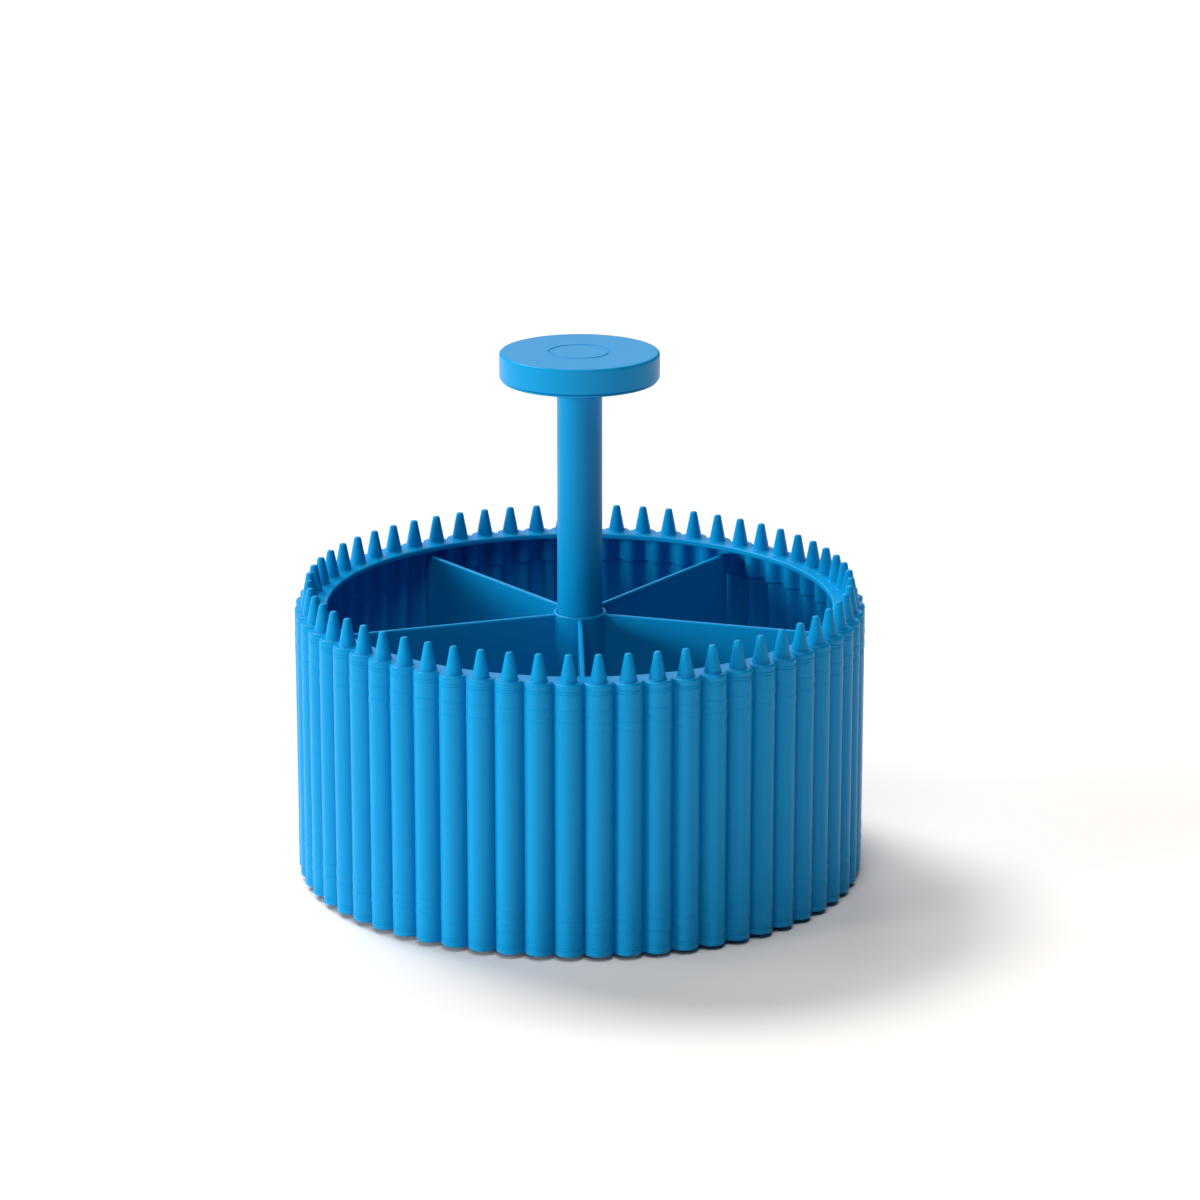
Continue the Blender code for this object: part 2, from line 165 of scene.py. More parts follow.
def spread(grid: np.ndarray, count: int, start: float) -> np.ndarray:
    """Copies a grid round the Z axis by even turns.

    Args:
        grid: (..., 3) points.
        count: number of copies.
        start: angle of the first copy.

    Returns:
        A (count, ..., 3) array of points.
    """
    angle = start + FULL_TURN * np.arange(count) / count
    shape = (count,) + (1,) * (grid.ndim - 1)
    cosine, sine = np.cos(angle).reshape(shape), np.sin(angle).reshape(shape)
    x, y, z = grid[None, ..., 0], grid[None, ..., 1], grid[None, ..., 2]
    return np.stack([x * cosine - y * sine, x * sine + y * cosine, z + 0.0 * cosine], axis=-1)


@dataclass
class Shell:
    """Gathers grids of points into one mesh with welded seams and closed poles."""

    points: list[np.ndarray] = field(default_factory=list)
    quads: list[np.ndarray] = field(default_factory=list)

    def add(self, grid: np.ndarray, wrap_v: bool = False) -> None:
        """Adds a (u, v, 3) grid that joins up in u, as quads anticlockwise seen from outside.

        Args:
            grid: points of the surface.
            wrap_v: whether the last row joins the first.
        """
        nu, nv = grid.shape[:2]
        base = sum(len(block) for block in self.points)
        i = np.arange(nu)[:, None]
        j = np.arange(nv if wrap_v else nv - 1)[None, :]
        right, above = (i + 1) % nu, (j + 1) % nv
        faces = np.stack([i * nv + j, right * nv + j, right * nv + above, i * nv + above], axis=-1)
        self.points.append(grid.reshape(-1, 3))
        self.quads.append(faces.reshape(-1, 4) + base)

    def build(self, name: str, sharp_angle: float = CRISP_ANGLE) -> bpy.types.Object:
        """Welds the points and makes the object.

        Points closer than the weld distance become one. A quad whose side has shrunk to nothing
        becomes a triangle, and one that has shrunk to a line is dropped.

        Args:
            name: the object's name.
            sharp_angle: least angle of a crisp edge, in degrees.

        Returns:
            The new object, with its place in its mesh.
        """
        points, quads = np.concatenate(self.points), np.concatenate(self.quads)
        keys = np.round(points / WELD).astype(np.int64)
        _, first, inverse = np.unique(keys, axis=0, return_index=True, return_inverse=True)
        quads = inverse.reshape(-1)[quads]
        shrunk = quads == np.roll(quads, -1, axis=1)
        losses = shrunk.sum(axis=1)
        whole = quads[losses == 0]
        thirds = quads[losses == 1][~shrunk[losses == 1]].reshape(-1, 3)
        mesh = bpy.data.meshes.new(name)
        mesh.from_pydata(points[first].tolist(), [], whole.tolist() + thirds.tolist())
        mesh.validate()
        mesh.shade_smooth()
        mesh.set_sharp_from_angle(angle=math.radians(sharp_angle))
        piece = bpy.data.objects.new(name, mesh)
        bpy.context.scene.collection.objects.link(piece)
        return piece


def whole_piece(name: str, grids: list[np.ndarray] | np.ndarray, wrap_v: bool = False,
                sharp_angle: float = CRISP_ANGLE) -> bpy.types.Object:
    """Makes one piece of several grids.

    Args:
        name: the piece's name.
        grids: its surfaces.
        wrap_v: whether the last row of each joins its first.
        sharp_angle: least angle of a crisp edge, in degrees.

    Returns:
        The new object.
    """
    shell = Shell()
    for grid in grids:
        shell.add(grid, wrap_v)
    return shell.build(name, sharp_angle)


# ---- finishes


def new_group(name: str, inputs: dict[str, float], outputs: tuple[str, ...]) -> bpy.types.NodeTree:
    """Starts a shader node group of numbers.

    Args:
        name: the group's name.
        inputs: name and default of each number that goes in.
        outputs: name of each result.

    Returns:
        The group, with its input and output nodes named IN and OUT.
    """
    group = bpy.data.node_groups.new(name, "ShaderNodeTree")
    for label, default in inputs.items():
        socket = group.interface.new_socket(label, in_out="INPUT", socket_type="NodeSocketFloat")
        socket.default_value = default
    for label in outputs:
        group.interface.new_socket(label, in_out="OUTPUT", socket_type="NodeSocketFloat")
    group.nodes.new("NodeGroupInput").name = "IN"
    group.nodes.new("NodeGroupOutput").name = "OUT"
    return group


def add_noise(tree: bpy.types.NodeTree, scale: float, detail: float) -> bpy.types.Node:
    """Adds a noise texture on object coordinates."""
    place = tree.nodes.new("ShaderNodeTexCoord")
    noise = tree.nodes.new("ShaderNodeTexNoise")
    noise.inputs["Scale"].default_value = scale
    noise.inputs["Detail"].default_value = detail
    tree.links.new(place.outputs["Object"], noise.inputs["Vector"])
    return noise


def add_sum(tree: bpy.types.NodeTree, noise: bpy.types.Node, swing: bpy.types.NodeSocket,
            level: bpy.types.NodeSocket | float) -> bpy.types.NodeSocket:
    """Adds level + swing * (noise - 0.5), where level is a socket or a number."""
    centred = tree.nodes.new("ShaderNodeMath")
    centred.operation = "SUBTRACT"
    centred.inputs[1].default_value = 0.5
    tree.links.new(noise.outputs["Fac"], centred.inputs[0])
    total = tree.nodes.new("ShaderNodeMath")
    total.operation = "MULTIPLY_ADD"
    tree.links.new(centred.outputs[0], total.inputs[0])
    tree.links.new(swing, total.inputs[1])
    if isinstance(level, float):
        total.inputs[2].default_value = level
    else:
        tree.links.new(level, total.inputs[2])
    return total.outputs[0]


def moulded_skin() -> bpy.types.NodeTree:
    """Builds, once, the skin of a moulding.

    Tone drifts slowly over some centimetres, roughness drifts over millimetres, and height is the
    fine grain that the mould's spark-eroded face leaves.

    Returns:
        The node group, with outputs Tone, Roughness and Height.
    """
    name = "moulded_skin"
    if name in bpy.data.node_groups:
        return bpy.data.node_groups[name]
    inputs = {"Tone Swing": 0.1, "Roughness Level": 0.45, "Roughness Swing": 0.1}
    group = new_group(name, inputs, ("Tone", "Roughness", "Height"))
    entry, leave = group.nodes["IN"], group.nodes["OUT"]
    drift = add_noise(group, scale=22.0, detail=2.0)
    tone = add_sum(group, drift, entry.outputs["Tone Swing"], 1.0)
    haze = add_noise(group, scale=180.0, detail=3.0)
    rough = add_sum(group, haze, entry.outputs["Roughness Swing"], entry.outputs["Roughness Level"])
    grain = add_noise(group, scale=2600.0, detail=4.0)
    group.links.new(tone, leave.inputs["Tone"])
    group.links.new(rough, leave.inputs["Roughness"])
    group.links.new(grain.outputs["Fac"], leave.inputs["Height"])
    return group


@dataclass(frozen=True)
class Finish:
    """One finish of the organiser: a colour, how dull it is, and how its skin varies."""

    name: str
    slot: Slot
    colour: tuple[float, float, float]
    roughness: float
    roughness_swing: float
    tone_swing: float
    grain: float
    metallic: float = 0.0
    ior: float = 1.49
    shine: float = 0.5
    grain_height: float = 0.05 * MM

    def material(self) -> bpy.types.Material:
        """Builds the material once.

        Base colour is the finish's colour times the skin's tone, roughness comes from the skin,
        and the skin's grain goes through a bump.

        Returns:
            The material.
        """
        if self.name in bpy.data.materials:
            return bpy.data.materials[self.name]
        material = bpy.data.materials.new(self.name)
        material.use_nodes = True
        tree = material.node_tree
        shader = tree.nodes["Principled BSDF"]
        shader.inputs["Metallic"].default_value = self.metallic
        shader.inputs["IOR"].default_value = self.ior
        shader.inputs["Specular IOR Level"].default_value = self.shine
        skin = tree.nodes.new("ShaderNodeGroup")
        skin.node_tree = moulded_skin()
        skin.inputs["Tone Swing"].default_value = self.tone_swing
        skin.inputs["Roughness Level"].default_value = self.roughness
        skin.inputs["Roughness Swing"].default_value = self.roughness_swing
        tint = tree.nodes.new("ShaderNodeVectorMath")
        tint.operation = "SCALE"
        tint.inputs[0].default_value = self.colour
        tree.links.new(skin.outputs["Tone"], tint.inputs["Scale"])
        tree.links.new(tint.outputs[0], shader.inputs["Base Color"])
        tree.links.new(skin.outputs["Roughness"], shader.inputs["Roughness"])
        bump = tree.nodes.new("ShaderNodeBump")
        bump.inputs["Strength"].default_value = self.grain
        bump.inputs["Distance"].default_value = self.grain_height
        tree.links.new(skin.outputs["Height"], bump.inputs["Height"])
        tree.links.new(bump.outputs["Normal"], shader.inputs["Normal"])
        return material


BLUE_SATIN = Finish("blue_satin_plastic", Slot.BLUE, (0.003, 0.262, 0.575), roughness=0.33,
                    roughness_swing=0.06, tone_swing=0.04, grain=0.12, shine=0.115)
GREY_SATIN = Finish("grey_satin_plastic", Slot.GREY, (0.12, 0.13, 0.14), roughness=0.5,
                    roughness_swing=0.1, tone_swing=0.08, grain=0.3)
WHITE_ACETAL = Finish("white_acetal", Slot.ACETAL, (0.8, 0.8, 0.77), roughness=0.38,
                      roughness_swing=0.08, tone_swing=0.03, grain=0.1)
ZINC_STEEL = Finish("zinc_plated_steel", Slot.STEEL, (0.62, 0.63, 0.65), roughness=0.26,
                    roughness_swing=0.12, tone_swing=0.1, grain=0.1, metallic=1.0)
BLACK_RUBBER = Finish("black_rubber", Slot.RUBBER, (0.02, 0.02, 0.02), roughness=0.8,
                      roughness_swing=0.1, tone_swing=0.15, grain=0.5)


def fit(piece: bpy.types.Object, body: Body, node: str, finish: Finish) -> bpy.types.Object:
    """Dresses a new piece and ties it to the frame.

    Args:
        piece: the piece, in place.
        body: the body that it moves with.
        node: the frame's node that it stands for.
        finish: its finish.

    Returns:
        The same piece.
    """
    piece.data.materials.append(finish.material())
    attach(piece, body.value)
    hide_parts(node)
    LOG.info("%s: %d faces, rides on %s", piece.name, len(piece.data.polygons), body.value)
    return piece


# ---- crayon ring


@dataclass
class CrayonOutline:
    """The drum's scalloped outline, seen from above.

    It is what a circle for each crayon gives when neighbours meet in grooves. Offset inwards by
    a depth, each circle shrinks by it, and each groove becomes an arc of that radius.
    """

    count: int = 60
    axis_radius: float = 114.15 * MM
    crayon_radius: float = 6.22 * MM
    flute_steps: int = 8
    ridge_steps: int = 2
    fade_share: float = 0.2

    @property
    def pitch(self) -> float:
        """Angle from one crayon to the next."""
        return FULL_TURN / self.count

    def sector(self, depth: np.ndarray, relief: np.ndarray) -> np.ndarray:
        """Works out one crayon's share of the outline at several depths, centred on +X.

        A flute point at angle t about the crayon's axis lies at radius
        (crayon radius - depth + relief * fade(t)), where fade falls from one to nothing over the
        last fade share before a groove. A ridge point lies at that depth from the groove's point.

        Args:
            depth: (v,) offset inwards of each section point.
            relief: (v,) height of each section point over the plain crayon.

        Returns:
            A (points, v) array of complex numbers x + iy, without the last, shared point.
        """
        half = self.pitch / 2
        chord = self.axis_radius * math.sin(half)
        rise = math.sqrt(self.crayon_radius**2 - chord**2)
        groove = (self.axis_radius * math.cos(half) + rise) * np.exp(1j * half)
        reach = float(np.angle(groove - self.axis_radius))
        angle = np.linspace(-reach, reach, self.flute_steps + 1)[:, None]
        fade = eased(np.clip((1.0 - np.abs(angle) / reach) / self.fade_share, 0.0, 1.0))
        radius = self.crayon_radius - depth[None, :] + relief[None, :] * fade
        flute = self.axis_radius + radius * np.exp(1j * angle)
        turn = np.linspace(reach + math.pi, half + math.pi, self.ridge_steps + 1)[1:, None]
        ridge = groove + depth[None, :] * np.exp(1j * turn)
        return np.concatenate([np.conj(ridge[::-1]), flute, ridge[:-1]])

    def loops(self, depth: np.ndarray, relief: np.ndarray) -> np.ndarray:
        """Copies the sector to every crayon; the grooves lie at whole multiples of the pitch."""
        turn = np.exp(1j * (np.arange(self.count) + 0.5) * self.pitch)
        every = turn[:, None, None] * self.sector(depth, relief)[None, :, :]
        return every.reshape(-1, len(depth))


@dataclass
class CrayonRing:
    """The corrugated wall: crayons with tips, flat rim, and a groove for the tray."""

    outline: CrayonOutline = field(default_factory=CrayonOutline)
    bottom: float = 2.0 * MM
    top: float = 117.1 * MM
    skin: float = 0.12 * MM
    wall: float = 2.5 * MM
    band_wall: float = 3.5 * MM
    band_height: float = 13.9 * MM
    rim_thickness: float = 2.2 * MM
    rim_width: float = 11.5 * MM
    rim_inner: float = 106.5 * MM
    lead_in: float = 0.3 * MM
    plain_end: float = 2.0 * MM
    band_slope: float = 0.8 * MM
    snap_wall: float = 1.9 * MM
    snap_bottom: float = 8.7 * MM
    snap_top: float = 11.7 * MM
    line_depth: float = 0.18 * MM
    line_places: tuple[float, ...] = (2.6 * MM, 3.8 * MM)
    ring_height: float = 0.12 * MM
    ring_places: tuple[tuple[float, float], ...] = ((10.4 * MM, 13.2 * MM), (15.6 * MM, 18.8 * MM))
    ring_ramp: tuple[float, ...] = (-0.35 * MM, -0.1 * MM, 0.1 * MM, 0.35 * MM)
    line_cut: tuple[float, ...] = (-0.28 * MM, -0.08 * MM, 0.08 * MM, 0.28 * MM)
    relief_guard: float = 0.6 * MM
    tip_height: float = 11.4 * MM
    tip_foot: float = 3.6 * MM
    tip_head: float = 1.45 * MM
    tip_collar: float = 0.45 * MM
    tip_sunk: float = 0.5 * MM
    tip_segments: int = 14

    def relief_rows(self) -> tuple[np.ndarray, np.ndarray]:
        """Lists the heights up a crayon where its lines and raised rings need points.

        Each step of the relief is a short ramp with a guard row before and after it, so that the
        plain lengths between stay straight. The rows repeat at the same distances from the
        crayon's two ends.

        Returns:
            Heights in rising order, and the relief at each.
        """
        rise = np.array([0.0, 0.0, 1.0, 1.0]) * self.ring_height
        edges = np.array(self.ring_places)
        rings = (edges[:, :, None] + np.array(self.ring_ramp)).ravel()
        ring_relief = np.tile(np.concatenate([rise, rise[::-1]]), len(edges))
        lines = (np.array(self.line_places)[:, None] + np.array(self.line_cut)).ravel()
        dip = np.array([0.0, -1.0, -1.0, 0.0]) * self.line_depth
        line_relief = np.tile(dip, len(self.line_places))
        guards = np.array([self.line_places[0] - self.relief_guard,
                           self.line_places[-1] + self.relief_guard])
        away = np.concatenate([guards, lines, rings])
        relief = np.concatenate([np.zeros(2), line_relief, ring_relief])
        heights = np.concatenate([self.bottom + away, self.top - away])
        both = np.concatenate([relief, relief])
        order = np.argsort(heights)
        return heights[order], both[order]

    def section(self) -> tuple[np.ndarray, np.ndarray, np.ndarray]:
        """Lists the wall's section as inset from the crayons' outline, height and relief.

        Returns:
            Three arrays that go round the closed section.
        """
        under_rim = self.top - self.rim_thickness
        step = self.top - self.band_height
        inside_foot = (self.wall - self.lead_in, self.bottom, SHARP)
        up = rounded([inside_foot, (self.skin, self.bottom, 0.7 * MM),
                      (self.skin, self.bottom + self.plain_end, SHARP)])[1:-1]
        heights, relief = self.relief_rows()
        over = rounded([
            (self.skin, self.top - self.plain_end, SHARP),
            (self.skin, self.top, 0.85 * MM),
            (self.rim_width, self.top, 0.55 * MM),
            (self.rim_width, under_rim, 0.45 * MM),
            (self.band_wall, under_rim, 0.6 * MM),
            (self.band_wall, step, 0.35 * MM),
            (self.wall, step - self.band_slope, 0.35 * MM),
            (self.wall, self.snap_top, SHARP),
            (self.snap_wall, self.snap_top, SHARP),
            (self.snap_wall, self.snap_bottom, SHARP),
            (self.wall, self.snap_bottom, SHARP),
            inside_foot,
        ], steps=3)[1:]
        inset = np.concatenate([up[:, 0], np.full(len(heights), self.skin), over[:, 0]])
        height = np.concatenate([up[:, 1], heights, over[:, 1]])
        both = np.concatenate([np.zeros(len(up)), relief, np.zeros(len(over))])
        return inset, height, both

    def wall_grid(self) -> np.ndarray:
        """Carries the section round the outline.

        Up to the band's wall thickness a point is the outline offset by its inset. Further in,
        the offset outline is drawn over to a circle by a smooth share that reaches one at the
        rim's inner edge.

        Returns:
            A (u, v, 3) grid.
        """
        inset, height, relief = self.section()
        flat = self.outline.loops(np.minimum(inset, self.band_wall), relief)
        reach = (inset - self.band_wall) / (self.rim_width - self.band_wall)
        share = eased(np.clip(reach, 0.0, 1.0))
        circle = flat / np.abs(flat) * (self.rim_inner + self.rim_width - inset)[None, :]
        return lifted((1.0 - share) * flat + share * circle, height)

    def tip_grid(self) -> np.ndarray:
        """Turns one tip about its crayon's axis, its foot sunk into the rim.

        Returns:
            A (u, v, 3) grid, placed over the crayon on +X.
        """
        sunk = self.top - self.tip_sunk
        foot = self.tip_foot
        collar = foot + self.tip_collar
        peak = self.top + self.tip_height
        line = rounded([
            (0.0, sunk, SHARP),
            (collar, sunk, SHARP),
            (collar, self.top + 0.02 * MM, SHARP),
            (foot, self.top + 0.12 * MM, 0.25 * MM),
            (foot - 0.52 * MM, self.top + 3.0 * MM, 2.0 * MM),
            (self.tip_head, peak, 0.7 * MM),
            (0.0, peak, SHARP),
        ], steps=2)
        grid = around(line, self.tip_segments)
        grid[..., 0] += self.outline.axis_radius
        return grid

    def build(self) -> None:
        """Makes the ring as one piece: the wall, and a closed tip on every crayon."""
        shell = Shell()
        shell.add(self.wall_grid(), wrap_v=True)
        for tip in spread(self.tip_grid(), self.outline.count, self.outline.pitch / 2):
            shell.add(tip)
        fit(shell.build("crayon_ring_moulding", 60.0), Body.DRUM, "crayon_ring", BLUE_SATIN)


# ---- ball race


@dataclass(frozen=True)
class BallRace:
    """The balls, and the tracks that they run in, one in the tray and one in the base."""

    count: int = 12
    circle: float = 60.0 * MM
    level: float = 6.6 * MM
    ball_radius: float = 3.0 * MM
    track_radius: float = 3.3 * MM

    def track(self, face: float, side: float) -> np.ndarray:
        """Lists the arc that a track cuts into a level face.

        Args:
            face: height of the face.
            side: 1 for a face above the balls, -1 for one below them.

        Returns:
            (n, 2) points: outwards under a face above, inwards along one below.
        """
        half = math.acos(side * (face - self.level) / self.track_radius)
        turn = np.linspace(side * QUARTER_TURN + half, side * QUARTER_TURN - half, 9)
        return np.stack([self.circle + self.track_radius * np.cos(turn),
                         self.level + self.track_radius * np.sin(turn)], axis=1)


RACE = BallRace()


# ---- divider tray


@dataclass
class DividerTray:
    """Floor with a scalloped edge, hub with a web, and dividers that run out to the wall."""

    outline: CrayonOutline = field(
        default_factory=lambda: CrayonOutline(flute_steps=4, ridge_steps=1))
    floor_bottom: float = 9.0 * MM
    floor_top: float = 11.4 * MM
    edge_inset: float = 2.2 * MM
    plain_radius: float = 108.0 * MM
    divider_count: int = 5
    divider_top: float = 112.5 * MM
    divider_half: float = 1.05 * MM
    divider_draft: float = 0.2 * MM
    divider_reach: float = 111.4 * MM
    divider_corner: float = 0.3 * MM
    divider_sunk: float = 0.9 * MM
    front: float = -QUARTER_TURN
    hub_radius: float = 11.3 * MM
    hub_top: float = 112.9 * MM
    hub_bore: float = 9.8 * MM
    web_bottom: float = 24.0 * MM
    web_top: float = 27.0 * MM
    rod_hole: float = 2.8 * MM
    track_edge: float = 6.0 * MM

    def body_grid(self) -> np.ndarray:
        """Carries the floor's and hub's section round, circles blending to scallops at the edge.

        Returns:
            A (u, v, 3) grid whose section is closed.
        """
        edge = self.outline.axis_radius
        inner = rounded([
            (self.rod_hole, self.web_bottom, SHARP),
            (self.hub_bore, self.web_bottom, 0.4 * MM),
            (self.hub_bore, self.floor_bottom, 0.3 * MM),
            (RACE.circle - self.track_edge, self.floor_bottom, SHARP),
        ])
        outer = rounded([
            (self.plain_radius, self.floor_bottom, SHARP),
            (edge, self.floor_bottom, 0.3 * MM),
            (edge, self.floor_top, 0.3 * MM),
            (self.plain_radius, self.floor_top, SHARP),
            (self.hub_radius, self.floor_top, 0.9 * MM),
            (self.hub_radius, self.hub_top, 0.7 * MM),
            (self.hub_bore, self.hub_top, 0.45 * MM),
            (self.hub_bore, self.web_top, 0.5 * MM),
            (self.rod_hole, self.web_top, SHARP),
        ])
        line = np.concatenate([inner, RACE.track(self.floor_bottom, 1.0), outer])
        scallop = self.outline.loops(np.array([self.edge_inset]), np.zeros(1))
        rim = np.abs(scallop)
        reach = (line[:, 0] - self.plain_radius) / (edge - self.plain_radius)
        share = np.clip(reach, 0.0, 1.0)[None, :]
        radius = (1.0 - share) * line[None, :, 0] + share * (rim - (edge - line[None, :, 0]))
        return lifted(scallop / rim * radius, line[None, :, 1])

    def divider_grid(self) -> np.ndarray:
        """Carries a divider's upright section outwards along +X.

        The section is a thin upright slab, a little thicker at its foot, with a rounded crest.
        Near the outer end it narrows by a quarter circle, and at both ends it closes to a line.

        Returns:
            A (u, v, 3) grid: u goes round the section, v along the divider.
        """
        foot = self.floor_bottom + 0.8 * MM
        wide = self.divider_half + self.divider_draft
        crest = rounded([
            (wide, foot, SHARP),
            (self.divider_half, self.divider_top, 0.75 * MM),
            (-self.divider_half, self.divider_top, 0.75 * MM),
            (-wide, foot, SHARP),
        ], steps=5)
        corner = self.divider_corner
        turn = np.linspace(0.0, QUARTER_TURN, 5)
        along = np.concatenate([[self.hub_radius - self.divider_sunk] * 2,
                                [self.divider_reach - 2.0 * corner],
                                self.divider_reach - corner + corner * np.sin(turn),
                                [self.divider_reach]])
        trim = np.concatenate([[0.0, 0.0, 0.0], corner * (1.0 - np.cos(turn)), [corner]])
        narrow = 1.0 - trim / self.divider_half
        narrow[[0, -1]] = 0.0
        y = crest[:, :1] * narrow[None, :]
        z = crest[:, 1:] - trim[None, :] * (crest[:, 1:] > self.divider_top - 2.0 * MM)
        x = np.broadcast_to(along[None, :], y.shape)
        return np.stack([x, y, z], axis=-1)

    def build(self) -> None:
        """Makes the tray as one piece: floor and hub, with a closed slab for each divider."""
        shell = Shell()
        shell.add(self.body_grid(), wrap_v=True)
        for divider in spread(self.divider_grid(), self.divider_count, self.front):
            shell.add(divider)
        fit(shell.build("divider_tray_moulding"), Body.DRUM, "divider_tray", BLUE_SATIN)


# ---- post and knob


@dataclass
class Grip:
    """The post and the disc knob that the organiser is lifted and turned by."""

    post_radius: float = 9.5 * MM
    post_bore: float = 7.3 * MM
    post_bottom: float = 27.3 * MM
    post_top: float = 215.4 * MM
    knob_radius: float = 33.5 * MM
    knob_top: float = 225.2 * MM
    knob_bottom: float = 213.3 * MM
    knob_wall: float = 2.4 * MM
    plate_inset: float = 0.9 * MM
    plate_flange: float = 0.9 * MM
    plate_top: float = 216.5 * MM
    boss_radius: float = 12.5 * MM
    boss_top: float = 218.7 * MM
    socket_top: float = 215.7 * MM
    rod_hole: float = 2.8 * MM
    gap: float = 0.3 * MM
    ring_radius: float = 12.0 * MM
    ring_width: float = 1.1 * MM
    ring_depth: float = 0.25 * MM
    ring_slope: float = 0.1 * MM
    segments: int = 160

    def build_post(self) -> None:
        """Makes the post as a tube with softened ends."""
        line = rounded([
            (self.post_bore, self.post_bottom, 0.3 * MM),
            (self.post_radius, self.post_bottom, 0.4 * MM),
            (self.post_radius, self.post_top, 0.4 * MM),
            (self.post_bore, self.post_top, 0.3 * MM),
        ], closed=True)
        post = whole_piece("post_moulding", [around(line, 96)], wrap_v=True)
        fit(post, Body.DRUM, "post_tube", BLUE_SATIN)

    def build_cap(self) -> None:
        """Makes the knob's cap: a soft-edged shell with a shallow ring sunk in its top."""
        skirt = self.knob_bottom + self.plate_flange + self.gap
        inside = self.knob_radius - self.knob_wall
        ceiling = self.knob_top - self.knob_wall
        sunk = self.knob_top - self.ring_depth
        outer_ring = self.ring_radius + self.ring_width
        slope = self.ring_slope
        line = rounded([
            (0.0, ceiling, SHARP),
            (inside, ceiling, 0.8 * MM),
            (inside, skirt, 0.3 * MM),
            (self.knob_radius, skirt, 0.5 * MM),
            (self.knob_radius, self.knob_top, 1.1 * MM),
            (outer_ring + slope, self.knob_top, 0.12 * MM),
            (outer_ring - slope, sunk, 0.08 * MM),
            (self.ring_radius + slope, sunk, 0.08 * MM),
            (self.ring_radius - slope, self.knob_top, 0.12 * MM),
            (0.0, self.knob_top, SHARP),
        ], steps=5)
        cap = whole_piece("knob_cap_moulding", [around(line, self.segments)])
        fit(cap, Body.DRUM, "knob_cap", BLUE_SATIN)

    def build_plate(self) -> None:
        """Makes the plate that closes the knob from below and holds the post in its socket."""
        socket = self.post_radius + self.gap
        spigot = self.knob_radius - self.knob_wall - self.gap
        rim = self.knob_radius - self.plate_inset
        line = rounded([
            (socket, self.knob_bottom, 0.3 * MM),
            (rim, self.knob_bottom, 0.3 * MM),
            (rim, self.knob_bottom + self.plate_flange, 0.2 * MM),
            (spigot, self.knob_bottom + self.plate_flange, 0.1 * MM),
            (spigot, self.plate_top, 0.4 * MM),
            (self.boss_radius, self.plate_top, 0.4 * MM),
            (self.boss_radius, self.boss_top, 0.4 * MM),
            (self.rod_hole, self.boss_top, 0.3 * MM),
            (self.rod_hole, self.socket_top, 0.1 * MM),
            (socket, self.socket_top, 0.2 * MM),
        ], closed=True)
        plate = whole_piece("knob_plate_moulding", [around(line, self.segments)], wrap_v=True)
        fit(plate, Body.DRUM, "knob_plate", BLUE_SATIN)

    def build(self) -> None:
        """Makes post, cap and plate."""
        self.build_post()
        self.build_cap()
        self.build_plate()


# ---- centre bearing


